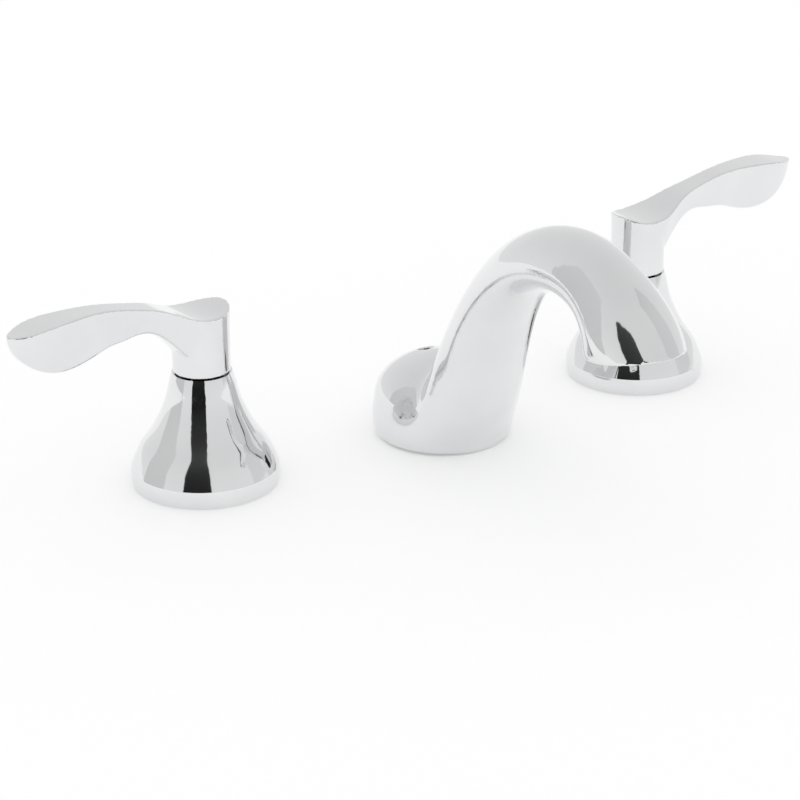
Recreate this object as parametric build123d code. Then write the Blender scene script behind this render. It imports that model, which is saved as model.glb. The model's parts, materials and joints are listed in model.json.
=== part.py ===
from build123d import *
import math
import os

# Widespread bathroom faucet: two lever handles on bell-shaped escutcheons and one arched spout.
# Millimetres, +Z up. The spout points along -Y, the hot handle stands at -X, the cold one at +X.
# The origin is on the deck surface, midway between the two handles on their common line.

# Layout on the deck
handle_spacing = 203.2
spout_forward = 9.2
deck_thickness = 20.0

# Clearances, and how far cuts run past what they cut
slip_clearance = 0.2
thread_clearance = 0.15
running_clearance = 0.05
cut_overrun = 1.0
full_turn = 360.0

# Bell escutcheon under each handle
bell_height = 45.0
bell_foot_radius = 28.1
bell_rim_radius = 28.6
bell_rim_height = 7.0
bell_crease_step = 0.35
bell_top_radius = 11.4
bell_wall = 1.8
bell_neck_wall = 1.3
bell_neck_length = 8.0
# Each pair: share of the way from the neck's radius to the rim's, share of the height above the rim
bell_flare_shares = ((0.92, 0.09), (0.78, 0.215), (0.55, 0.36), (0.34, 0.53), (0.177, 0.705), (0.079, 0.88))
bell_seal_width = 2.4
bell_seal_thickness = 2.0

# Lever handle: distances outward from the turning axis, heights above its lower edge
handle_gap = 0.5
hub_base_radius = 11.1
hub_waist_radius = 11.0
hub_top_radius = 11.9
hub_waist_share = 0.4
hub_hollow_wall = 1.5
hub_hollow_depth = 4.2
lever_length = 81.9
lever_height = 35.8
lever_half_width = 7.3
lever_heel_share = 0.74
lever_edge_share = 0.45
lever_top_allowance = 2.5
# The stations that the curve of the top runs through
lever_top_stations = (0, 1, 3, 5, 6, 7, 8, 9, 12)
# Sections from the hub's axis to the tip: share of the length, then the top and the underside as shares of
# the height, then the half widths at the top and at the underside as shares of the greatest half width
lever_station_shares = (
    (0.000, 0.650, 0.120, 1.51, 1.15),
    (0.111, 0.693, 0.200, 1.40, 0.82),
    (0.160, 0.743, 0.335, 1.19, 0.70),
    (0.222, 0.808, 0.480, 0.945, 0.60),
    (0.272, 0.850, 0.560, 0.81, 0.54),
    (0.358, 0.900, 0.600, 0.70, 0.49),
    (0.494, 0.966, 0.566, 0.66, 0.49),
    (0.617, 0.994, 0.484, 0.77, 0.48),
    (0.753, 0.992, 0.438, 0.96, 0.52),
    (0.864, 0.972, 0.508, 0.99, 0.57),
    (0.938, 0.947, 0.626, 0.77, 0.38),
    (0.982, 0.936, 0.768, 0.40, 0.26),
    (1.000, 0.930, 0.888, 0.09, 0.07),
)
socket_length = 11.5
set_screw_radius = 2.5
set_screw_length = 5.0
set_screw_height = 9.5
set_screw_key = 1.4
set_screw_key_depth = 2.0

# Valve body: one threaded brass casting that passes up through the deck
valve_neck_setback = 2.5
valve_neck_wall = 1.5
shank_clearance = 1.5
shank_depth = 62.0
inlet_wall = 2.7
inlet_length = 15.0
passage_radius = 2.4
passage_wall = 1.5
annulus_depth = 1.6
outlet_radius = 6.9
outlet_length = 12.0
outlet_rise = 10.0
outlet_bore_radius = 4.2

# Ceramic cartridge inside each valve body
cartridge_length = 30.0
seat_seal_height = 2.6
seat_seal_wall = 0.85
cartridge_wall = 1.1
window_height = 4.0
window_share = 0.6
guide_length = 13.5
hex_height = 2.6
hex_clearance = 0.5
disc_thickness = 2.8
disc_clearance = 0.1
disc_port_radius = 2.0
disc_port_rim = 1.0
stem_radius = 4.0
stem_drive_height = 1.6
stem_tang_width = 2.0
stem_tang_depth = 1.0
stem_stop_height = 2.4
stem_stop_angle = 76.0
turn_angle = 90.0
stop_slack_angle = 4.0
spline_teeth = 20
spline_depth = 0.5
# How far each lever is turned at rest from the line through both handles, counter-clockwise seen from above
hot_rest_turn = 7.3
cold_rest_turn = 3.0
spline_length = 10.5
o_ring_section_radius = 0.9
o_ring_rise = 6.5
clip_thickness = 0.7
clip_groove_depth = 0.6
clip_width = 1.6
clip_mouth_angle = 100.0

# Washers and nuts that clamp each handle's valve to the deck
washer_width = 7.0
rubber_thickness = 3.0
metal_thickness = 1.5
nut_width = 5.0
lower_nut_height = 9.0
upper_nut_height = 5.5
hex_sides = 6

# Spout casting: a round base with a domed shoulder, and an arched body that rises from its front
base_foot_radius = 27.3
base_band_radius = 28.0
base_band_height = 4.0
base_wall_radius = 27.3
base_wall_height = 14.0
base_dome_height = 32.5
# Each pair: share of the wall's radius, share of the dome's height above the wall
base_dome_shares = ((0.985, 0.2), (0.935, 0.4), (0.835, 0.6), (0.655, 0.8), (0.50, 0.9), (0.30, 0.97))
base_rim_wall = 3.0
base_hollow_height = 9.0
spout_reach = 125.8
spout_height = 108.5
outlet_tilt = 12.0
section_points = 24
# Stations of the arched body: share of the reach, share of the height, then as shares of the base wall's
# radius the half width, the depth behind the side edges and the depth ahead of them, and how sharp those are
spout_station_shares = (
    (0.101, 0.000, 0.84, 0.40, 0.52, 1.20),
    (0.1475, 0.177, 0.82, 0.50, 0.58, 1.30),
    (0.200, 0.315, 0.77, 0.53, 0.56, 1.40),
    (0.2925, 0.525, 0.665, 0.585, 0.38, 1.40),
    (0.418, 0.731, 0.597, 0.51, 0.335, 1.30),
    (0.593, 0.863, 0.59, 0.49, 0.363, 1.10),
    (0.791, 0.878, 0.565, 0.485, 0.445, 1.20),
    (0.930, 0.788, 0.63, 0.535, 0.57, 1.15),
    (1.000, 0.690, 0.62, 0.66, 0.61, 1.00),
)
rod_hole_radius = 3.3
rod_hole_distance = 12.8

# Spout shank, tee, gasket and clamping parts
gasket_thickness = 1.5
gasket_clearance = 0.3
spout_shank_radius = 10.3
spout_shank_bore = 6.5
spout_shank_forward = 5.5
spout_shank_seat = 12.0
spout_shank_depth = 58.0
shank_boss_wall = 2.6
spout_plate_radius = 23.0
spout_nut_width = 3.8
rod_clearance = 0.8
channel_radius = 4.5
tee_wall = 3.0
tee_height = 24.0
tee_overlap = 10.0
tee_arm_radius = 6.9
tee_arm_length = 12.0
tee_bore_radius = 4.2

# Bent link tubes from each valve's outlet to the tee, and the nuts at their ends
tube_radius = 4.75
tube_bore = 3.75
tube_nut_width = 2.8
tube_nut_grip = 10.0
tube_nut_neck = 5.0
tube_straight_share = 0.27
tube_bend_share = 0.30

# Aerator in the spout's mouth
aerator_radius = 11.0
aerator_wall = 1.3
aerator_height = 6.5
aerator_lip_width = 1.4
aerator_lip_height = 1.2
aerator_recess = 0.6
aerator_washer_thickness = 1.4
insert_height = 4.0
insert_web = 0.8
insert_ring_count = 3
insert_spoke_count = 6


def between(start, end, share):
    """The value a share of the way from start to end."""
    return start + (end - start) * share


def cylinder(radius, low, high):
    """An upright cylinder between two heights."""
    return Pos(0, 0, low) * Cylinder(radius, high - low, align=(Align.CENTER, Align.CENTER, Align.MIN))


def ring(outer, inner, low, high):
    """An upright ring between two heights."""
    return cylinder(outer, low, high) - cylinder(inner, low - cut_overrun, high + cut_overrun)


def hex_prism(corner_radius, low, high):
    """An upright six-sided block between two heights."""
    return Pos(0, 0, low) * extrude(RegularPolygon(corner_radius, hex_sides), high - low)


def hex_nut(corner_radius, inner, low, high):
    """A six-sided nut between two heights."""
    return hex_prism(corner_radius, low, high) - cylinder(inner, low - cut_overrun, high + cut_overrun)


def sector(outer, inner, low, high, start, sweep):
    """A part of a ring that starts at one angle and turns on by a sweep, in degrees."""
    profile = Polyline((inner, low), (outer, low), (outer, high), (inner, high), close=True)
    return Rot(0, 0, start) * revolve(make_face(Plane.XZ * profile), Axis.Z, sweep)


def star(radius, depth, teeth):
    """A face with pointed teeth all round, as on a splined stem."""
    points = []
    for step in range(teeth * 2):
        reach = radius if step % 2 == 0 else radius - depth
        angle = math.pi * step / teeth
        points.append((reach * math.cos(angle), reach * math.sin(angle)))
    return make_face(Polyline(*points, close=True))


def bell_points():
    """The flare's outline, radius and height, from the crease above the rim up to the neck."""
    crease_radius = bell_rim_radius - bell_crease_step
    points = [(crease_radius, bell_rim_height)]
    for radius_share, height_share in bell_flare_shares:
        radius = between(bell_top_radius, crease_radius, radius_share)
        points.append((radius, between(bell_rim_height, bell_height, height_share)))
    points.append((bell_top_radius, bell_height))
    return points


def bell_radius_at(height):
    """The bell's outer radius at a height, taken straight between its outline's points."""
    points = bell_points()
    for (low_radius, low), (high_radius, high) in zip(points, points[1:]):
        if height <= high:
            return between(low_radius, high_radius, (height - low) / (high - low))
    return bell_top_radius


# Heights and radii that several pieces share
handle_distance = handle_spacing / 2
valve_top = bell_height - valve_neck_setback
cavity_floor = valve_top - cartridge_length
disc_base = cavity_floor + seat_seal_height
moving_disc_base = disc_base + disc_thickness
window_low = moving_disc_base + disc_clearance
window_high = window_low + window_height
shoulder_height = window_high + annulus_depth / 2 + passage_wall
shank_radius = bell_radius_at(shoulder_height) - bell_wall - shank_clearance
neck_bore_radius = bell_top_radius - bell_neck_wall
valve_neck_radius = neck_bore_radius - thread_clearance
cavity_radius = valve_neck_radius - valve_neck_wall
cartridge_radius = cavity_radius - running_clearance
cartridge_bore = cartridge_radius - cartridge_wall
passage_offset = shank_radius - passage_wall - passage_radius
inlet_bore_radius = passage_offset - passage_radius - passage_wall
inlet_radius = inlet_bore_radius + inlet_wall
hex_top = valve_top + hex_height
guide_low = hex_top - guide_length
handle_base = bell_height + handle_gap
hub_hollow_radius = hub_base_radius - hub_hollow_wall
stem_top = handle_base + hub_hollow_depth + spline_length
deck_bottom = -deck_thickness
rubber_bottom = deck_bottom - rubber_thickness
metal_bottom = rubber_bottom - metal_thickness
gasket_radius = base_foot_radius - base_rim_wall - gasket_clearance
mouth_depth = aerator_recess + aerator_height + aerator_washer_thickness
outlet_height = outlet_rise - shank_depth
tee_radius = spout_shank_radius + tee_wall
tee_bottom = tee_overlap - spout_shank_depth - tee_height
arm_height = (tee_bottom - spout_shank_depth) / 2


def bell_escutcheon():
    """The bell: an upright rim band, a crease, then a flare that sweeps in to a short threaded neck."""
    points = bell_points()
    foot = (bell_foot_radius, 0)
    band = (bell_rim_radius, bell_rim_height / 2)
    outline = ThreePointArc(foot, band, points[0])
    outline += Spline(*points)
    outline += Polyline(points[-1], (0, bell_height), (0, 0), foot)
    solid = revolve(make_face(Plane.XZ * outline), Axis.Z)
    hollow_top = bell_height - bell_neck_length
    inner = [(radius - bell_wall, height) for radius, height in points if height < hollow_top]
    inner.append((bell_radius_at(hollow_top) - bell_wall, hollow_top))
    mouth = (bell_foot_radius - bell_wall, -cut_overrun)
    outline = Spline(*inner)
    outline += Polyline(inner[-1], (0, hollow_top), (0, -cut_overrun), mouth, inner[0])
    solid -= revolve(make_face(Plane.XZ * outline), Axis.Z)
    return solid - cylinder(neck_bore_radius, hollow_top - cut_overrun, bell_height + cut_overrun)


def bell_seal():
    """A soft ring inside the bell's rim that keeps water from running under it."""
    outer = bell_foot_radius - bell_wall - slip_clearance
    return ring(outer, outer - bell_seal_width, 0, bell_seal_thickness)


def valve_body():
    """Threaded shank, stepped neck, inlet below, side outlet towards the spout, and the waterways."""
    bottom = -shank_depth
    port = Pos(0, 0, outlet_height) * Rot(0, 90, 0)
    port_end = shank_radius + outlet_length
    body = cylinder(shank_radius, bottom, shoulder_height)
    body += cylinder(valve_neck_radius, shoulder_height, valve_top)
    body += cylinder(inlet_radius, bottom - inlet_length, bottom)
    body += port * cylinder(outlet_radius, 0, port_end)
    body -= cylinder(inlet_bore_radius, bottom - inlet_length - cut_overrun, cavity_floor + cut_overrun)
    body -= cylinder(cavity_radius, cavity_floor, valve_top + cut_overrun)
    annulus_low = window_low - annulus_depth / 2
    body -= cylinder(passage_offset + passage_radius / 2, annulus_low, window_high + annulus_depth / 2)
    body -= Pos(passage_offset, 0, 0) * cylinder(passage_radius, outlet_height, annulus_low + cut_overrun)
    return body - port * cylinder(outlet_bore_radius, passage_offset, port_end + cut_overrun)


def cartridge_body(way):
    """The sleeve: windows, a stop for the stem's tab, a long guide and a hexagon; way is 1 or -1."""
    sleeve = cylinder(cartridge_radius, cavity_floor, valve_top)
    sleeve += hex_prism(hub_hollow_radius - hex_clearance, valve_top, hex_top)
    sleeve -= cylinder(cartridge_bore, cavity_floor - cut_overrun, guide_low)
    sleeve -= cylinder(stem_radius + running_clearance, guide_low - cut_overrun, hex_top + cut_overrun)
    # The stem's tab needs its own angle, the turn and some slack at each end; the stop fills the rest
    near_angle = stem_stop_angle / 2 + stop_slack_angle
    stop_start = turn_angle + near_angle if way > 0 else near_angle
    stop_outer = (cartridge_bore + cartridge_radius) / 2
    sleeve += sector(stop_outer, stem_radius + slip_clearance, guide_low - stem_stop_height,
                     guide_low + cartridge_wall, stop_start, full_turn - turn_angle - 2 * near_angle)
    window = Box(cartridge_bore * 2 * window_share, cartridge_radius, window_height,
                 align=(Align.CENTER, Align.MIN, Align.MIN))
    for angle in (0, full_turn / 2):
        sleeve -= Rot(0, 0, angle) * Pos(0, cartridge_bore / 2, window_low) * window
    return sleeve


def cartridge_stem():
    """The turning stem: driver flange with tangs, stop tab, seal and clip grooves, splined top."""
    flange_low = moving_disc_base + disc_thickness
    flange_radius = cartridge_bore - slip_clearance
    spline_low = stem_top - spline_length
    stem = cylinder(stem_radius, flange_low, spline_low)
    stem += cylinder(flange_radius, flange_low, flange_low + stem_drive_height)
    tang = Box(stem_tang_width, flange_radius, stem_tang_depth, align=(Align.CENTER, Align.CENTER, Align.MAX))
    stem += Pos(0, 0, flange_low) * tang
    stem += Pos(0, 0, spline_low) * extrude(star(stem_radius, spline_depth, spline_teeth), spline_length)
    stem += sector(flange_radius, stem_radius / 2, guide_low - stem_stop_height + slip_clearance,
                   guide_low - slip_clearance, -stem_stop_angle / 2, stem_stop_angle)
    seal_height = guide_low + o_ring_rise
    groove_floor = stem_radius + running_clearance - 2 * o_ring_section_radius
    stem -= ring(stem_radius + cut_overrun, groove_floor, seal_height - o_ring_section_radius - running_clearance,
                 seal_height + o_ring_section_radius + running_clearance)
    clip_low = hex_top + slip_clearance
    return stem - ring(stem_radius + cut_overrun, stem_radius - clip_groove_depth, clip_low,
                       clip_low + clip_thickness + running_clearance)


def stem_o_ring():
    """The soft ring in the stem's groove."""
    radius = stem_radius + running_clearance - o_ring_section_radius
    return Pos(0, 0, guide_low + o_ring_rise) * Torus(radius, o_ring_section_radius - running_clearance / 2)


def stem_clip():
    """The open spring clip that keeps the stem in the cartridge."""
    inner = stem_radius - clip_groove_depth + running_clearance
    low = hex_top + slip_clearance + running_clearance / 2
    return sector(inner + clip_width, inner, low, low + clip_thickness, clip_mouth_angle / 2,
                  360 - clip_mouth_angle)


def disc_with_ports(low, port):
    """A polished disc with the same port cut on two sides."""
    disc = cylinder(cartridge_bore - disc_clearance, low, low + disc_thickness)
    distance = cartridge_bore - disc_clearance - disc_port_radius - disc_port_rim
    for angle in (0, full_turn / 2):
        disc -= Rot(0, 0, angle) * Pos(distance, 0, low - cut_overrun) * port
    return disc


def fixed_disc():
    """The lower disc: two round ports, a quarter turn away from those of the moving disc at rest."""
    port = cylinder(disc_port_radius, 0, disc_thickness + 2 * cut_overrun)
    return Rot(0, 0, turn_angle) * disc_with_ports(disc_base, port)


def moving_disc():
    """The upper disc: ports open to the side windows, and a slot across its top for the stem's tangs."""
    height = disc_thickness + 2 * cut_overrun
    port = cylinder(disc_port_radius, 0, height)
    port += Box(cartridge_bore, disc_port_radius * 2, height, align=(Align.MIN, Align.CENTER, Align.MIN))
    slot = Box(stem_tang_width + 2 * running_clearance, cartridge_bore, stem_tang_depth * 2)
    top = moving_disc_base + disc_thickness
    return disc_with_ports(moving_disc_base, port) - Pos(0, 0, top) * slot


def seat_seal():
    """The soft ring between the fixed disc and the floor of the valve body's cavity."""
    outer = cartridge_bore - disc_clearance
    return ring(outer, outer - seat_seal_wall, cavity_floor, disc_base)


def lever_section(distance, top, bottom, half_width, foot_half_width):
    """One upright section, drawn on past the lever's top: sides that draw in downward, rounded below."""
    lean = (half_width - foot_half_width) / (top - bottom)
    high_half_width = half_width + lean * lever_top_allowance
    high = top + lever_top_allowance
    corners = ((-high_half_width, high), (high_half_width, high), (foot_half_width, bottom),
               (-foot_half_width, bottom))
    face = make_face(Polyline(*[(distance, y, z) for y, z in corners], close=True))
    return fillet(face.vertices().sort_by(Axis.Z)[:2], foot_half_width * lever_edge_share)


def lever_arm():
    """The arm, from inside the hub out to the tip, with its top not yet cut."""
    sections = []
    for distance, top, bottom, width, foot_width in lever_station_shares:
        sections.append(lever_section(lever_length * distance, lever_height * top, lever_height * bottom,
                                      lever_half_width * width, lever_half_width * foot_width))
    return loft(sections)


def lever_hub():
    """The round waisted hub, with its top not yet cut."""
    waist = Spline((hub_base_radius, 0), (hub_waist_radius, lever_height * hub_waist_share),
                   (hub_top_radius, lever_height))
    core = Polyline((hub_top_radius, lever_height), (0, lever_height), (0, 0), (hub_base_radius, 0))
    return revolve(make_face(Plane.XZ * (waist + core)), Axis.Z)


def lever_top_cut():
    """All that lies under the one curved top, which runs from behind the hub over the arm to the tip."""
    reach = hub_top_radius + cut_overrun
    line = [(-reach, lever_height * lever_heel_share)]
    for index in lever_top_stations:
        station = lever_station_shares[index]
        line.append((lever_length * station[0], lever_height * station[1]))
    line.append((lever_length + cut_overrun, line[-1][1]))
    sides = Polyline(line[-1], (line[-1][0], -cut_overrun), (line[0][0], -cut_overrun), line[0])
    return extrude(make_face(Plane.XZ * (Spline(*line) + sides)), reach, both=True)


def lever_handle(rear):
    """A lever with its hub, splined socket and set-screw hole; rear is the side of the hole, 1 or -1."""
    lever = (lever_hub() + lever_arm()) & lever_top_cut()
    lever -= cylinder(hub_hollow_radius, -cut_overrun, hub_hollow_depth)
    socket = extrude(star(stem_radius + running_clearance, spline_depth, spline_teeth), socket_length)
    lever -= Pos(0, 0, hub_hollow_depth) * socket
    hole = cylinder(set_screw_radius + running_clearance, stem_radius / 2, hub_top_radius * 2)
    return lever - Pos(0, 0, set_screw_height) * Rot(-90 * rear, 0, 0) * hole


def set_screw(rear):
    """A headless screw with a keyed end, which bears on the stem through the hub's wall."""
    start = stem_radius + running_clearance
    screw = cylinder(set_screw_radius, start, start + set_screw_length)
    key = Pos(0, 0, start + set_screw_length - set_screw_key_depth) * extrude(
        RegularPolygon(set_screw_key, hex_sides), set_screw_key_depth + cut_overrun)
    return Pos(0, 0, set_screw_height) * Rot(-90 * rear, 0, 0) * (screw - key)


def valve_clamp_parts():
    """The nut above the deck, and the rubber washer, metal washer and nut below it."""
    inner = shank_radius + thread_clearance
    outer = shank_radius + washer_width
    corner = shank_radius + nut_width
    return {
        "upper_nut": hex_nut(corner, inner, 0, upper_nut_height),
        "rubber_washer": ring(outer, inner, rubber_bottom, deck_bottom),
        "steel_washer": ring(outer, inner, metal_bottom, rubber_bottom),
        "lock_nut": hex_nut(corner, inner, metal_bottom - lower_nut_height, metal_bottom),
    }


def station_values():
    """The spout's stations in real sizes: centre, half width, depth behind, depth ahead, sharpness."""
    values = []
    for reach_share, height_share, width_share, behind_share, ahead_share, sharpness in spout_station_shares:
        centre = (-spout_reach * reach_share, spout_height * height_share)
        width = base_wall_radius * width_share
        behind = base_wall_radius * behind_share
        ahead = base_wall_radius * ahead_share
        values.append((centre, width, behind, ahead, sharpness))
    return values


def station_direction(centres, index):
    """The way the centre line runs at a station: upright at the foot, tilted at the mouth."""
    if index == 0:
        return (0, 1)
    if index == len(centres) - 1:
        tilt = math.radians(outlet_tilt)
        return (-math.sin(tilt), -math.cos(tilt))
    (back_y, back_z), (next_y, next_z) = centres[index - 1], centres[index + 1]
    length = math.hypot(next_y - back_y, next_z - back_z)
    return ((next_y - back_y) / length, (next_z - back_z) / length)


def spout_section(centre, direction, half_width, behind, ahead, sharpness):
    """One closed section, square to the centre line, with its side edges at the half width."""
    points = []
    for step in range(section_points):
        angle = 2 * math.pi * step / section_points
        depth = behind if math.sin(angle) > 0 else -ahead
        depth *= abs(math.sin(angle)) ** sharpness
        points.append((half_width * math.cos(angle), centre[0] + depth * direction[1],
                       centre[1] - depth * direction[0]))
    return make_face(Spline(*points, periodic=True))


def spout_arch():
    """The arched body, from inside the base up, over and down to the mouth."""
    stations = station_values()
    centres = [station[0] for station in stations]
    sections = []
    for index, station in enumerate(stations):
        sections.append(spout_section(station[0], station_direction(centres, index), *station[1:]))
    return loft(sections)


def spout_base():
    """The round base: a slightly tapered wall and a domed shoulder."""
    rise = base_dome_height - base_wall_height
    dome = [(base_wall_radius, base_wall_height)]
    for radius_share, height_share in base_dome_shares:
        dome.append((base_wall_radius * radius_share, base_wall_height + rise * height_share))
    dome.append((0, base_dome_height))
    outline = Polyline((0, base_dome_height), (0, 0), (base_foot_radius, 0))
    outline += Spline((base_foot_radius, 0), (base_band_radius, base_band_height), dome[0])
    outline += Spline(*dome, tangents=((0, 1), (-1, 0)))
    return revolve(make_face(Plane.XZ * outline), Axis.Z)


def mouth_plane():
    """The plane of the spout's mouth; its normal runs into the spout."""
    tilt = math.radians(outlet_tilt)
    reach_share, height_share = spout_station_shares[-1][:2]
    origin = (0, -spout_reach * reach_share, spout_height * height_share)
    return Plane(origin=origin, x_dir=(1, 0, 0), z_dir=(0, math.sin(tilt), math.cos(tilt)))


def waterway():
    """The channel that follows the arch from the shank's socket to the mouth."""
    tilt = math.radians(outlet_tilt)
    centres = [station[0] for station in station_values()]
    start = (-spout_shank_forward, spout_shank_seat - cut_overrun)
    depth = mouth_depth - cut_overrun
    end = (centres[-1][0] + depth * math.sin(tilt), centres[-1][1] + depth * math.cos(tilt))
    path = Spline(*[(0, y, z) for y, z in [start] + centres[2:-2] + [end]],
                  tangents=((0, 0, 1), (0, -math.sin(tilt), -math.cos(tilt))))
    return sweep(Plane(origin=path @ 0, z_dir=path % 0) * Circle(channel_radius), path)


def spout_body():
    """The spout casting with its hollow base, shank boss, lift-rod hole, waterway and mouth."""
    boss = cylinder(spout_shank_radius + shank_boss_wall, gasket_thickness, base_dome_height)
    hollow = cylinder(gasket_radius + gasket_clearance, -cut_overrun, base_hollow_height)
    socket = cylinder(spout_shank_radius + thread_clearance, -cut_overrun, spout_shank_seat)
    body = spout_base() + spout_arch()
    body -= hollow - Pos(0, -spout_shank_forward, 0) * boss
    body -= Pos(0, -spout_shank_forward, 0) * socket
    body -= Pos(0, rod_hole_distance, 0) * cylinder(rod_hole_radius, -cut_overrun, base_dome_height + cut_overrun)
    body -= waterway()
    return body - mouth_plane() * cylinder(aerator_radius + thread_clearance, -cut_overrun, mouth_depth)


def spout_disc(radius, low, high, shank_gap):
    """A round plate about the spout's base with a hole for the shank and one for the lift rod."""
    disc = cylinder(radius, low, high)
    shank_hole = cylinder(spout_shank_radius + shank_gap, low - cut_overrun, high + cut_overrun)
    rod_hole = cylinder(rod_hole_radius + rod_clearance, low - cut_overrun, high + cut_overrun)
    return disc - Pos(0, -spout_shank_forward, 0) * shank_hole - Pos(0, rod_hole_distance, 0) * rod_hole


def spout_tee():
    """The tee on the shank's lower end, with an arm towards each valve and a closed bottom."""
    low = tee_bottom
    arm_reach = tee_radius + tee_arm_length
    tee = cylinder(tee_radius, low, low + tee_height)
    for angle in (-90, 90):
        tee += Pos(0, 0, arm_height) * Rot(0, angle, 0) * cylinder(tee_arm_radius, 0, arm_reach)
    tee -= cylinder(spout_shank_radius + thread_clearance, -spout_shank_depth, low + tee_height + cut_overrun)
    tee -= cylinder(spout_shank_bore, low + tee_wall, cut_overrun - spout_shank_depth)
    for angle in (-90, 90):
        tee -= Pos(0, 0, arm_height) * Rot(0, angle, 0) * cylinder(tee_bore_radius, 0, arm_reach + cut_overrun)
    return tee


def aerator_insert():
    """The flow straightener: rings joined by spokes."""
    outer = aerator_radius - aerator_wall - slip_clearance
    low = aerator_recess + aerator_lip_height
    high = low + insert_height
    insert = ring(outer, outer - insert_web, low, high)
    for step in range(1, insert_ring_count):
        radius = outer * step / insert_ring_count
        insert += ring(radius, radius - insert_web, low, high)
    spoke = Box(outer - insert_web / 2, insert_web, insert_height, align=(Align.MIN, Align.CENTER, Align.MIN))
    for step in range(insert_spoke_count):
        insert += Rot(0, 0, full_turn * step / insert_spoke_count) * Pos(0, 0, low) * spoke
    return insert


def aerator_parts():
    """The threaded housing, the straightener inside it and the washer above it."""
    inner = aerator_radius - aerator_wall
    lip_inner = inner - aerator_lip_width
    top = aerator_recess + aerator_height
    housing = ring(aerator_radius, inner, aerator_recess, top)
    housing += ring(aerator_radius, lip_inner, aerator_recess, aerator_recess + aerator_lip_height)
    return {
        "aerator_housing": housing,
        "aerator_insert": aerator_insert(),
        "aerator_washer": ring(aerator_radius, inner, top, mouth_depth),
    }


def tube_nut(pin_radius, root, pin_length):
    """A six-sided nut that grips a pin's end and holds the tube against it; the pin runs up from its root."""
    end = root + pin_length
    nut = hex_prism(pin_radius + tube_nut_width, end - tube_nut_grip, end + tube_nut_neck)
    nut -= cylinder(pin_radius + thread_clearance, end - tube_nut_grip - cut_overrun, end)
    return nut - cylinder(tube_radius + slip_clearance, end - cut_overrun, end + tube_nut_neck + cut_overrun)


def hot_tube_parts():
    """The bent tube between the hot valve's outlet and the tee's arm, with its two nuts."""
    start = (shank_radius + outlet_length - handle_distance, 0, outlet_height)
    end = (-tee_radius - tee_arm_length, -spout_forward - spout_shank_forward, arm_height)
    run = end[0] - start[0]
    offset = math.hypot(end[1] - start[1], end[2] - start[2])
    # The tube's two bends lie in one slanted plane, whose own X runs from the valve to the tee
    bend_plane = Plane(origin=start, x_dir=(1, 0, 0), z_dir=(0, start[2] - end[2], end[1] - start[1]))
    straight = run * tube_straight_share
    line = FilletPolyline((0, 0), (straight, 0), (run - straight, offset), (run, offset),
                          radius=run * tube_bend_share)
    path = bend_plane * line
    section = Plane(origin=start, z_dir=(1, 0, 0))
    tube = sweep(section * Circle(tube_radius), path) - sweep(section * Circle(tube_bore), path)
    at_valve = Pos(-handle_distance, 0, outlet_height) * Rot(0, 90, 0)
    at_tee = Pos(0, end[1], arm_height) * Rot(0, -90, 0)
    return {
        "link_tube": tube,
        "tube_valve_nut": at_valve * tube_nut(outlet_radius, shank_radius, outlet_length),
        "tube_tee_nut": at_tee * tube_nut(tee_arm_radius, tee_radius, tee_arm_length),
    }


def spout_parts():
    """The spout and everything fixed to it, about the centre of its base."""
    on_shank = Pos(0, -spout_shank_forward, 0)
    tube = ring(spout_shank_radius, spout_shank_bore, -spout_shank_depth, spout_shank_seat)
    nut = hex_nut(spout_shank_radius + spout_nut_width, spout_shank_radius + thread_clearance,
                  metal_bottom - lower_nut_height, metal_bottom)
    parts = {
        "spout_body": spout_body(),
        "spout_gasket": spout_disc(gasket_radius, 0, gasket_thickness, gasket_clearance),
        "spout_shank": on_shank * tube,
        "spout_rubber_washer": spout_disc(spout_plate_radius, rubber_bottom, deck_bottom, slip_clearance),
        "spout_steel_plate": spout_disc(spout_plate_radius, metal_bottom, rubber_bottom, slip_clearance),
        "spout_lock_nut": on_shank * nut,
        "spout_tee": on_shank * spout_tee(),
    }
    for name, solid in aerator_parts().items():
        parts[name] = mouth_plane() * solid
    return parts


def handle_side_parts(way, rest_turn):
    """Every piece under one lever, about its turning axis; way is 1 on the hot side, -1 on the cold."""
    turned = Rot(0, 0, rest_turn + (full_turn / 2 if way > 0 else 0))
    raised = turned * Pos(0, 0, handle_base)
    parts = {
        "escutcheon": bell_escutcheon(),
        "escutcheon_seal": bell_seal(),
        "valve_body": Rot(0, 0, 0 if way > 0 else full_turn / 2) * valve_body(),
        "cartridge_body": turned * cartridge_body(way),
        "cartridge_stem": turned * cartridge_stem(),
        "stem_o_ring": stem_o_ring(),
        "stem_clip": turned * stem_clip(),
        "fixed_disc": turned * fixed_disc(),
        "moving_disc": turned * moving_disc(),
        "seat_seal": seat_seal(),
        "handle": raised * lever_handle(-way),
        "set_screw": raised * set_screw(-way),
    }
    parts.update(valve_clamp_parts())
    return parts


def build_parts():
    """Every piece by the name of its node, in its place."""
    parts = {}
    for name, solid in handle_side_parts(1, hot_rest_turn).items():
        parts["hot_" + name] = Pos(-handle_distance, 0, 0) * solid
    for name, solid in handle_side_parts(-1, cold_rest_turn).items():
        parts["cold_" + name] = Pos(handle_distance, 0, 0) * solid
    for name, solid in spout_parts().items():
        parts[name] = Pos(0, -spout_forward, 0) * solid
    for name, solid in hot_tube_parts().items():
        parts["hot_" + name] = solid
        parts["cold_" + name] = mirror(solid, about=Plane.YZ)
    return parts


def main():
    os.makedirs("parts", exist_ok=True)
    for node, solid in build_parts().items():
        export_step(solid, "parts/" + node + ".step")


if __name__ == "__main__":
    main()
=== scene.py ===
"""The looks of the widespread bathroom faucet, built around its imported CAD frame."""
import json
import math

import bmesh
import bpy
from mathutils import Matrix, Vector
from mathutils.kdtree import KDTree


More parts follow.
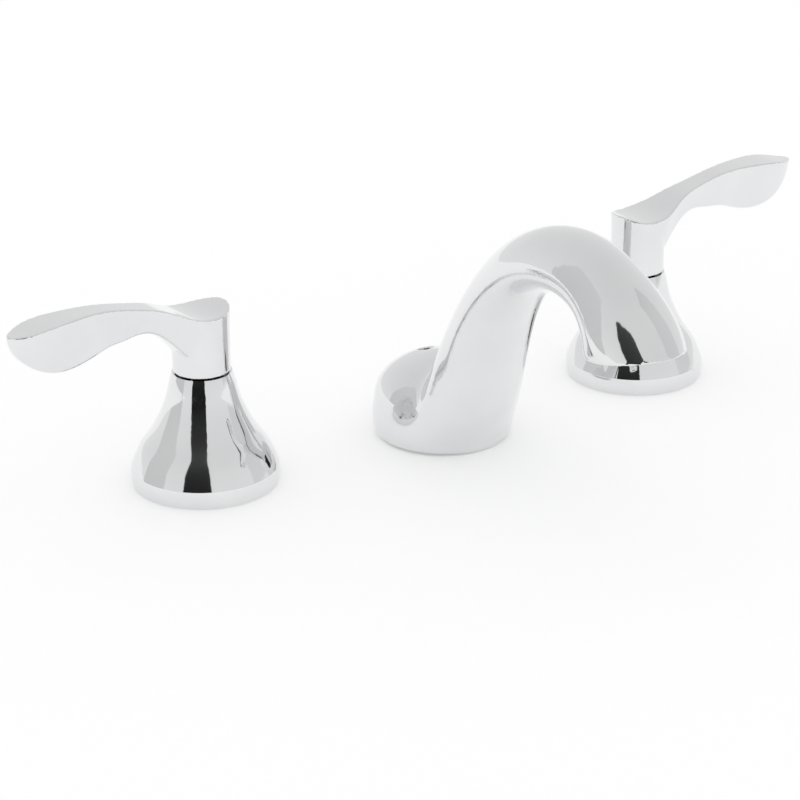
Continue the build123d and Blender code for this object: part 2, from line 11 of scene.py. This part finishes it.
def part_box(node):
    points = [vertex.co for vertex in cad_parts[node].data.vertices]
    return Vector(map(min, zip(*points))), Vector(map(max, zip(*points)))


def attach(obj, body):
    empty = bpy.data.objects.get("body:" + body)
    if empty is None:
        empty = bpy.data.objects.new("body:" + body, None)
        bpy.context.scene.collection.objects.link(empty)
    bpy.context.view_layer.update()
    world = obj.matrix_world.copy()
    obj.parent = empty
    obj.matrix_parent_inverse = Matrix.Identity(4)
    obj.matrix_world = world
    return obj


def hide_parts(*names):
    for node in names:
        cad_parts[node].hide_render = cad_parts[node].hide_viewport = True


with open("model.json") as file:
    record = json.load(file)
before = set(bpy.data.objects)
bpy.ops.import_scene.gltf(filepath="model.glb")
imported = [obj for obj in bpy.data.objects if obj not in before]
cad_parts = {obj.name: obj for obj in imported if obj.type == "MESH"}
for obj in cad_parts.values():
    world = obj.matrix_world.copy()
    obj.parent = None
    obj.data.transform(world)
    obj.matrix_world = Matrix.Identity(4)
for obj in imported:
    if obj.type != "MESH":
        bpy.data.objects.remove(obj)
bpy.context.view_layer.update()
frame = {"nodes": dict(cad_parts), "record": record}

# The photograph's camera: place in metres, turns in degrees, focal length and picture width in pixels, sensor
# width in millimetres, and the nearest and farthest distance it sees in metres
camera_place = Vector((-0.496936, -0.783374, 0.403561))
camera_azimuth = 31.6433
camera_fall = 23.0163
camera_roll = -0.3503
camera_focus = 2512.55
image_width = 800
sensor_width = 36.0
clip_near = 0.01
clip_far = 100.0

# Castings that get the eased edges of a polished part here: voxel size in metres and rounds of smoothing
lever_voxel = 0.0004
lever_rounds = 9
spout_voxel = 0.0006
spout_rounds = 3
smoothing_factor = 0.5
# The soft blend where the arch rises from the base's dome: the box that holds the fold, how far from it the
# blend reaches, the signed angle in radians below which an edge is part of the fold, and rounds of smoothing
blend_low = (-0.026, -0.030, 0.006)
blend_high = (0.026, -0.006, 0.040)
blend_reach = 0.016
blend_angle = -0.15
blend_rounds = 320

# Threads: pitch and height of the ridge, how far a thread stays from the faces at its ends, the steps in a
# turn, and the turns over which it fades at each end
coarse_pitch = 0.0018
fine_pitch = 0.0013
ridge_height = 0.0005
ridge_inset = 0.0006
thread_steps = 72
thread_fade_turns = 0.5
# The ridge's section: half its width at the root and at the crest as shares of the pitch, and how deep the
# root lies in the shank as a share of the ridge's height
ridge_root_share = 0.42
ridge_crest_share = 0.06
ridge_depth_share = 0.25
# Where threads run: length and radius of the valves' inlets, and the height at which a valve's shank ends
inlet_length = 0.015
inlet_radius = 0.010285
shank_thread_top = 0.0225

# Nuts: sides, points on each side, slope of the chamfer at the corners, width of the flat face inside it as a
# share of the width across the flats, and the room between a nut's bore and its shank
nut_sides = 6
nut_side_steps = 12
chamfer_slope = 0.577
nut_face_share = 0.99
thread_nut_clearance = 0.00015

# Materials: the part of a noise's range that is used, and how deep a grain is
noise_low = 0.3
noise_high = 0.7
even_stretch = (1.0, 1.0, 1.0)
grain_depth = 0.0001
white = (1.0, 1.0, 1.0, 1.0)

# The world's levels: behind the object, for the light, and in reflections at the horizon and overhead
backdrop_level = 1.0
ambient_level = 0.78
horizon_level = 0.86
zenith_level = 0.74
# The greys of the floor and the cards, and the floor's half size and its drop below the deck in metres
floor_colour = 0.90
card_colour = 0.0
floor_half_size = 4.0
floor_drop = 0.0001
# Cards that only reflections see: azimuth in degrees, then distance, widths at foot and top, lowest and
# highest edge in metres, and the grey at foot and top
stage_cards = (
    ("flag_front", 43.0, 1.6, 1.25, 0.95, 0.06, 2.0, 0.010, 0.06),
    ("card_right", -62.0, 1.6, 0.9, 0.9, 0.10, 2.6, 0.74, 0.64),
    ("card_left", 112.0, 1.6, 1.1, 1.1, 0.00, 2.0, 0.66, 0.70),
)


# Shared helpers

def new_material(name, metallic=0.0):
    """A material that has only a surface shader, with its node tree and that shader."""
    material = bpy.data.materials.new(name)
    material.use_nodes = True
    tree = material.node_tree
    tree.nodes.clear()
    shader = tree.nodes.new("ShaderNodeBsdfPrincipled")
    shader.inputs["Metallic"].default_value = metallic
    output = tree.nodes.new("ShaderNodeOutputMaterial")
    tree.links.new(shader.outputs["BSDF"], output.inputs["Surface"])
    return material, tree, shader


def mesh_object(name, corners, faces):
    """A flat-shaded mesh object from its corners and faces."""
    mesh = bpy.data.meshes.new(name)
    mesh.from_pydata(corners, [], faces)
    mesh.validate()
    thing = bpy.data.objects.new(name, mesh)
    bpy.context.scene.collection.objects.link(thing)
    return thing


def outward(angle):
    """A level direction."""
    return Vector((math.cos(angle), math.sin(angle), 0.0))


def upward(height):
    """A step straight up."""
    return Vector((0.0, 0.0, height))


def ring_object(name, rings, closed):
    """A mesh through equal rings of corners, joined end to end when closed, or else capped at its ends."""
    size = len(rings[0])
    corners = [corner for ring in rings for corner in ring]
    last = (len(rings) - 1) * size
    faces = []
    for first in range(0, len(corners) if closed else last, size):
        after = (first + size) % len(corners)
        for side in range(size):
            up = (side + 1) % size
            faces.append((first + side, after + side, after + up, first + up))
    if not closed:
        faces.append(tuple(range(size)))
        faces.append(tuple(last + side for side in reversed(range(size))))
    return mesh_object(name, corners, faces)


def body_of(node):
    """The name of the body that a node rides on."""
    for body, nodes in frame["record"]["behaviour"]["bodies"].items():
        if node in nodes:
            return body


def stand_for(piece, node, material):
    """Puts a piece in a node's place, on its body and with its finish."""
    piece.data.materials.clear()
    piece.data.materials.append(material)
    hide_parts(node)
    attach(piece, body_of(node))


def object_noise(tree, scale, detail, stretch=even_stretch):
    """A noise value on the object's own coordinates, in metres."""
    place = tree.nodes.new("ShaderNodeTexCoord")
    mapping = tree.nodes.new("ShaderNodeMapping")
    mapping.inputs["Scale"].default_value = stretch
    noise = tree.nodes.new("ShaderNodeTexNoise")
    noise.inputs["Scale"].default_value = scale
    noise.inputs["Detail"].default_value = detail
    tree.links.new(place.outputs["Object"], mapping.inputs["Vector"])
    tree.links.new(mapping.outputs["Vector"], noise.inputs["Vector"])
    return noise.outputs["Fac"]


def spread(tree, noise, low, high):
    """Turns a noise value into a number between low and high."""
    span = tree.nodes.new("ShaderNodeMapRange")
    span.inputs["From Min"].default_value = noise_low
    span.inputs["From Max"].default_value = noise_high
    span.inputs["To Min"].default_value = low
    span.inputs["To Max"].default_value = high
    tree.links.new(noise, span.inputs["Value"])
    return span.outputs["Result"]


def mixed_colour(tree, noise, first, second):
    """A colour that goes from the first to the second with a noise value."""
    ramp = tree.nodes.new("ShaderNodeValToRGB")
    ramp.color_ramp.elements[0].position = noise_low
    ramp.color_ramp.elements[0].color = (*first, 1.0)
    ramp.color_ramp.elements[1].position = noise_high
    ramp.color_ramp.elements[1].color = (*second, 1.0)
    tree.links.new(noise, ramp.inputs["Fac"])
    return ramp.outputs["Color"]


def add_bump(tree, shader, noise, strength):
    """Raises the surface by a noise value."""
    bump = tree.nodes.new("ShaderNodeBump")
    bump.inputs["Strength"].default_value = strength
    bump.inputs["Distance"].default_value = grain_depth
    tree.links.new(noise, bump.inputs["Height"])
    tree.links.new(bump.outputs["Normal"], shader.inputs["Normal"])


def follow_noise(tree, shader, noise, dark, light, sleek, rough):
    """Lets the colour and the roughness follow one noise value."""
    tree.links.new(mixed_colour(tree, noise, dark, light), shader.inputs["Base Color"])
    tree.links.new(spread(tree, noise, sleek, rough), shader.inputs["Roughness"])


# Materials, one function each

def polished_chrome():
    """Mirror-polished plate with faint clouding and no grain."""
    material, tree, shader = new_material("polished_chrome", metallic=1.0)
    cloud = object_noise(tree, scale=45.0, detail=3.0)
    follow_noise(tree, shader, cloud, dark=(0.785, 0.79, 0.80), light=(0.815, 0.82, 0.825),
                 sleek=0.035, rough=0.075)
    return material


def raw_brass():
    """Machined brass with fine turning marks and slight tarnish."""
    material, tree, shader = new_material("raw_brass", metallic=1.0)
    stain = object_noise(tree, scale=90.0, detail=5.0)
    follow_noise(tree, shader, stain, dark=(0.60, 0.42, 0.17), light=(0.78, 0.60, 0.29),
                 sleek=0.22, rough=0.36)
    turning_marks = object_noise(tree, scale=60.0, detail=2.0, stretch=(1.0, 1.0, 60.0))
    add_bump(tree, shader, turning_marks, strength=0.25)
    return material


def bare_copper():
    """Drawn copper tube with darker clouds of age."""
    material, tree, shader = new_material("bare_copper", metallic=1.0)
    stain = object_noise(tree, scale=70.0, detail=4.0)
    follow_noise(tree, shader, stain, dark=(0.55, 0.27, 0.17), light=(0.80, 0.47, 0.34),
                 sleek=0.20, rough=0.38)
    return material


def plain_steel():
    """Stainless steel with a short brushed grain."""
    material, tree, shader = new_material("plain_steel", metallic=1.0)
    grain = object_noise(tree, scale=120.0, detail=3.0, stretch=(1.0, 12.0, 1.0))
    follow_noise(tree, shader, grain, dark=(0.52, 0.52, 0.53), light=(0.66, 0.66, 0.67),
                 sleek=0.22, rough=0.4)
    add_bump(tree, shader, grain, strength=0.15)
    return material


def black_rubber():
    """Matte black rubber with a fine moulded grain."""
    material, tree, shader = new_material("black_rubber")
    grain = object_noise(tree, scale=900.0, detail=4.0)
    follow_noise(tree, shader, grain, dark=(0.018, 0.018, 0.018), light=(0.04, 0.04, 0.04),
                 sleek=0.55, rough=0.75)
    add_bump(tree, shader, grain, strength=0.2)
    return material


def ceramic():
    """Lapped white ceramic with a hint of warm speckle."""
    material, tree, shader = new_material("ceramic")
    speckle = object_noise(tree, scale=1500.0, detail=2.0)
    follow_noise(tree, shader, speckle, dark=(0.84, 0.83, 0.79), light=(0.90, 0.89, 0.86),
                 sleek=0.08, rough=0.16)
    return material


def white_plastic():
    """Moulded plastic with a soft sheen and a faint grain."""
    material, tree, shader = new_material("white_plastic")
    grain = object_noise(tree, scale=700.0, detail=3.0)
    follow_noise(tree, shader, grain, dark=(0.80, 0.80, 0.79), light=(0.86, 0.86, 0.85),
                 sleek=0.35, rough=0.5)
    add_bump(tree, shader, grain, strength=0.1)
    return material


def dress_cad_nodes(materials):
    """Gives every node of the frame the material of its slot."""
    for row in frame["record"]["subparts"]:
        node = frame["nodes"][row["node"]]
        for slot in node.material_slots:
            slot.material = materials[row["material_slot"]]


# Castings with eased edges, in place of their CAD nodes

def settle(piece):
    """Applies a piece's modifiers, drops its vertex groups and gives it smooth shading."""
    graph = bpy.context.evaluated_depsgraph_get()
    mesh = bpy.data.meshes.new_from_object(piece.evaluated_get(graph), depsgraph=graph)
    mesh.name = piece.name
    mesh.shade_smooth()
    piece.modifiers.clear()
    piece.vertex_groups.clear()
    piece.data = mesh


def add_smoothing(piece, rounds):
    """Adds rounds of smoothing to a piece as a modifier."""
    ease = piece.modifiers.new("ease", "SMOOTH")
    ease.factor = smoothing_factor
    ease.iterations = rounds
    return ease


def remeshed(node, name, voxel, rounds):
    """An even mesh of a node's form, with its sharp edges eased by a few rounds of smoothing."""
    piece = bpy.data.objects.new(name, frame["nodes"][node].data.copy())
    bpy.context.scene.collection.objects.link(piece)
    grid = piece.modifiers.new("grid", "REMESH")
    grid.mode = "VOXEL"
    grid.voxel_size = voxel
    add_smoothing(piece, rounds)
    settle(piece)
    return piece


def inside(point, low, high):
    """Whether a point lies in a box."""
    return all(low[i] <= point[i] <= high[i] for i in range(3))


def hollow_corners(mesh, low, high, angle):
    """The points in a box where the surface folds inward by more than an angle."""
    shape = bmesh.new()
    shape.from_mesh(mesh)
    found = []
    for edge in shape.edges:
        middle = (edge.verts[0].co + edge.verts[1].co) / 2
        if inside(middle, low, high) and edge.calc_face_angle_signed(0.0) < angle:
            found.append(middle.copy())
    shape.free()
    return found


def soften_shoulder(piece):
    """Blends the dome into the rise of the arch, strongest along the fold between them."""
    fold = hollow_corners(piece.data, blend_low, blend_high, blend_angle)
    tree = KDTree(len(fold))
    for index, point in enumerate(fold):
        tree.insert(point, index)
    tree.balance()
    group = piece.vertex_groups.new(name="blend")
    for vertex in piece.data.vertices:
        distance = tree.find(vertex.co)[2]
        if distance < blend_reach:
            group.add([vertex.index], 1.0 - distance / blend_reach, "REPLACE")
    add_smoothing(piece, blend_rounds).vertex_group = "blend"
    settle(piece)


def make_levers(material):
    """Both levers with the eased edges of a polished casting."""
    for side in ("hot", "cold"):
        piece = remeshed(side + "_handle", side + "_lever_casting", lever_voxel, lever_rounds)
        stand_for(piece, side + "_handle", material)


def make_spout(material):
    """The spout casting with its soft shoulder."""
    piece = remeshed("spout_body", "spout_casting", spout_voxel, spout_rounds)
    soften_shoulder(piece)
    stand_for(piece, "spout_body", material)


# Threads and nuts

def box_axis(low, high):
    """The upright axis through the middle of a box, as its point at deck level."""
    return Vector(((low[0] + high[0]) / 2, (low[1] + high[1]) / 2, 0.0))


def valve_shank_radius(side):
    """Half the depth of a valve body, which is its shank's, because only the side outlet reaches further."""
    low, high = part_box(side + "_valve_body")
    return (high[1] - low[1]) / 2


def helix_ridge(name, axis, radius, low, high, pitch, material):
    """A screw thread: a closed ridge with slanted sides that winds up a shank and fades at its ends."""
    start = low + ridge_inset + pitch / 2
    turns = (high - low - 2 * ridge_inset - pitch) / pitch
    count = int(turns * thread_steps)
    root = radius - ridge_height * ridge_depth_share
    half_root = pitch * ridge_root_share
    half_crest = pitch * ridge_crest_share
    fade_steps = thread_steps * thread_fade_turns
    rings = []
    for step in range(count + 1):
        out = outward(2 * math.pi * step / thread_steps)
        middle = axis + upward(start + pitch * step / thread_steps)
        fade = min(1.0, step / fade_steps, (count - step) / fade_steps)
        crest = radius + ridge_height * fade
        section = ((root, -half_root), (crest, -half_crest), (crest, half_crest), (root, half_root))
        rings.append([middle + out * distance + upward(rise) for distance, rise in section])
    piece = ring_object(name, rings, closed=False)
    piece.data.materials.append(material)
    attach(piece, "faucet_base")


def make_valve_threads(side, material):
    """Threads on one valve's shank and inlet, clear of the nuts that sit on the shank."""
    lock_low, lock_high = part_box(side + "_lock_nut")
    washer_low, washer_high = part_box(side + "_rubber_washer")
    nut_low, nut_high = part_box(side + "_upper_nut")
    body_low, body_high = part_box(side + "_valve_body")
    axis = box_axis(lock_low, lock_high)
    radius = valve_shank_radius(side)
    foot = body_low[2]
    inlet_top = foot + inlet_length
    runs = (
        ("_shank_thread_low", radius, inlet_top, lock_low[2], coarse_pitch),
        ("_shank_thread_deck", radius, washer_high[2], nut_low[2], coarse_pitch),
        ("_shank_thread_top", radius, nut_high[2], shank_thread_top, coarse_pitch),
        ("_inlet_thread", inlet_radius, foot, inlet_top, fine_pitch),
    )
    for name, width, low, high, pitch in runs:
        helix_ridge(side + name, axis, width, low, high, pitch, material)


def make_spout_threads(material):
    """Threads on the spout's shank, below its lock nut and up to the deck."""
    low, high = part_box("spout_shank")
    nut_low, nut_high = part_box("spout_lock_nut")
    washer_low, washer_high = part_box("spout_rubber_washer")
    tee_low, tee_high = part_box("spout_tee")
    axis = box_axis(low, high)
    radius = (high[0] - low[0]) / 2
    runs = (("shank_thread_low", tee_high[2], nut_low[2]), ("shank_thread_deck", washer_high[2], 0.0))
    for name, foot, top in runs:
        helix_ridge("spout_" + name, axis, radius, foot, top, coarse_pitch, material)


def make_threads(material):
    """The threads of both valves and of the spout."""
    for side in ("hot", "cold"):
        make_valve_threads(side, material)
    make_spout_threads(material)


def chamfered_nut(node, bore, material):
    """A six-sided nut with turned chamfers, as wide and as high as its node."""
    low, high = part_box(node)
    axis = box_axis(low, high)
    half_side = math.pi / nut_sides
    flat = (high[0] - low[0]) / 2 * math.cos(half_side)
    face = flat * nut_face_share
    steps = nut_side_steps * nut_sides
    rings = []
    for step in range(steps):
        angle = 2 * math.pi * step / steps
        reach = flat / math.cos(angle % (2 * half_side) - half_side)
        drop = (reach - flat) * chamfer_slope
        outline = ((bore, low[2]), (bore, high[2]), (face, high[2]),
                   (reach, high[2] - drop), (reach, low[2] + drop), (face, low[2]))
        rings.append([axis + outward(angle) * distance + upward(height) for distance, height in outline])
    stand_for(ring_object(node + "_turned", rings, closed=True), node, material)


def make_nuts(materials):
    """The nuts on the three shanks, each in the finish of its node."""
    slots = {row["node"]: row["material_slot"] for row in frame["record"]["subparts"]}
    shanks = {}
    for side in ("hot", "cold"):
        shanks[side + "_upper_nut"] = valve_shank_radius(side)
        shanks[side + "_lock_nut"] = valve_shank_radius(side)
    low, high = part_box("spout_shank")
    shanks["spout_lock_nut"] = (high[0] - low[0]) / 2
    for node, radius in shanks.items():
        chamfered_nut(node, radius + thread_nut_clearance, materials[slots[node]])


# The stage

def flat_material(name, level):
    """A matte material of one grey, with its tree and its shader."""
    material, tree, shader = new_material(name)
    shader.inputs["Base Color"].default_value = (level, level, level, 1.0)
    shader.inputs["Roughness"].default_value = 1.0
    shader.inputs["Specular IOR Level"].default_value = 0.0
    return material, tree, shader


def clear_ray(tree, paths):
    """One for camera, glossy and transmission rays, nought for the rays that carry light."""
    seen = tree.nodes.new("ShaderNodeMath")
    seen.operation = "ADD"
    also = tree.nodes.new("ShaderNodeMath")
    also.operation = "ADD"
    also.use_clamp = True
    tree.links.new(paths.outputs["Is Camera Ray"], seen.inputs[0])
    tree.links.new(paths.outputs["Is Glossy Ray"], seen.inputs[1])
    tree.links.new(seen.outputs[0], also.inputs[0])
    tree.links.new(paths.outputs["Is Transmission Ray"], also.inputs[1])
    return also.outputs[0]


def make_floor():
    """The white floor that the three bases stand on; it keeps their shadow."""
    half = floor_half_size
    corners = [(-half, -half, -floor_drop), (half, -half, -floor_drop), (half, half, -floor_drop),
               (-half, half, -floor_drop)]
    floor = mesh_object("floor", corners, [(0, 1, 2, 3)])
    material, tree, shader = flat_material("floor", floor_colour)
    paths = tree.nodes.new("ShaderNodeLightPath")
    seen = clear_ray(tree, paths)
    lift = tree.nodes.new("ShaderNodeMapRange")
    lift.inputs["To Max"].default_value = backdrop_level - ambient_level * floor_colour
    tree.links.new(seen, lift.inputs["Value"])
    shader.inputs["Emission Color"].default_value = white
    tree.links.new(lift.outputs["Result"], shader.inputs["Emission Strength"])
    floor.data.materials.append(material)


def make_card(name, azimuth, distance, foot_width, top_width, low, high, foot_level, top_level):
    """An upright card round the object that only reflections see; its azimuth is from -Y towards -X."""
    angle = math.radians(azimuth)
    middle = Vector((-math.sin(angle), -math.cos(angle), 0.0)) * distance
    side = Vector((math.cos(angle), -math.sin(angle), 0.0))
    foot = middle + upward(low)
    top = middle + upward(high)
    corners = [foot - side * foot_width / 2, foot + side * foot_width / 2,
               top + side * top_width / 2, top - side * top_width / 2]
    card = mesh_object(name, corners, [(0, 1, 2, 3)])
    material, tree, shader = flat_material(name, card_colour)
    place = tree.nodes.new("ShaderNodeTexCoord")
    height = tree.nodes.new("ShaderNodeSeparateXYZ")
    rise = tree.nodes.new("ShaderNodeMapRange")
    rise.inputs["From Min"].default_value = low
    rise.inputs["From Max"].default_value = high
    rise.inputs["To Min"].default_value = foot_level
    rise.inputs["To Max"].default_value = top_level
    tree.links.new(place.outputs["Object"], height.inputs["Vector"])
    tree.links.new(height.outputs["Z"], rise.inputs["Value"])
    shader.inputs["Emission Color"].default_value = white
    tree.links.new(rise.outputs["Result"], shader.inputs["Emission Strength"])
    card.data.materials.append(material)
    card.visible_camera = False
    card.visible_shadow = False
    card.visible_diffuse = False


def make_world():
    """White for the camera, a soft fall towards the zenith in reflections, a plain level for the light."""
    world = bpy.data.worlds.new("studio")
    bpy.context.scene.world = world
    world.use_nodes = True
    tree = world.node_tree
    tree.nodes.clear()
    paths = tree.nodes.new("ShaderNodeLightPath")
    seen = clear_ray(tree, paths)
    place = tree.nodes.new("ShaderNodeTexCoord")
    height = tree.nodes.new("ShaderNodeSeparateXYZ")
    fall = tree.nodes.new("ShaderNodeMapRange")
    fall.inputs["To Min"].default_value = horizon_level
    fall.inputs["To Max"].default_value = zenith_level
    tree.links.new(place.outputs["Generated"], height.inputs["Vector"])
    tree.links.new(height.outputs["Z"], fall.inputs["Value"])
    mirrored = tree.nodes.new("ShaderNodeMix")
    mirrored.inputs["A"].default_value = ambient_level
    tree.links.new(seen, mirrored.inputs["Factor"])
    tree.links.new(fall.outputs["Result"], mirrored.inputs["B"])
    level = tree.nodes.new("ShaderNodeMix")
    level.inputs["B"].default_value = backdrop_level
    tree.links.new(paths.outputs["Is Camera Ray"], level.inputs["Factor"])
    tree.links.new(mirrored.outputs["Result"], level.inputs["A"])
    sky = tree.nodes.new("ShaderNodeBackground")
    sky.inputs["Color"].default_value = white
    tree.links.new(level.outputs["Result"], sky.inputs["Strength"])
    output = tree.nodes.new("ShaderNodeOutputWorld")
    tree.links.new(sky.outputs["Background"], output.inputs["Surface"])


def make_camera():
    """The camera that was solved from the photograph."""
    azimuth = math.radians(camera_azimuth)
    fall = math.radians(camera_fall)
    roll = math.radians(camera_roll)
    forward = Vector((
        math.sin(azimuth) * math.cos(fall),
        math.cos(azimuth) * math.cos(fall),
        -math.sin(fall)))
    level_right = Vector((math.cos(azimuth), -math.sin(azimuth), 0.0))
    level_up = level_right.cross(forward)
    right = math.cos(roll) * level_right + math.sin(roll) * level_up
    up = -math.sin(roll) * level_right + math.cos(roll) * level_up
    data = bpy.data.cameras.new("camera")
    data.sensor_width = sensor_width
    data.lens = camera_focus * sensor_width / image_width
    data.clip_start = clip_near
    data.clip_end = clip_far
    camera = bpy.data.objects.new("camera", data)
    bpy.context.scene.collection.objects.link(camera)
    turn = Matrix((right, up, -forward)).transposed().to_4x4()
    camera.matrix_world = Matrix.Translation(camera_place) @ turn
    bpy.context.scene.camera = camera


def make_stage():
    """Floor, world and cards."""
    make_floor()
    make_world()
    for card in stage_cards:
        make_card(*card)


make_camera()
make_stage()
materials = {
    "polished_chrome": polished_chrome(),
    "raw_brass": raw_brass(),
    "bare_copper": bare_copper(),
    "plain_steel": plain_steel(),
    "black_rubber": black_rubber(),
    "ceramic": ceramic(),
    "white_plastic": white_plastic(),
}
dress_cad_nodes(materials)
make_levers(materials["polished_chrome"])
make_spout(materials["polished_chrome"])
make_threads(materials["raw_brass"])
make_nuts(materials)
bpy.context.scene.view_settings.view_transform = "Standard"
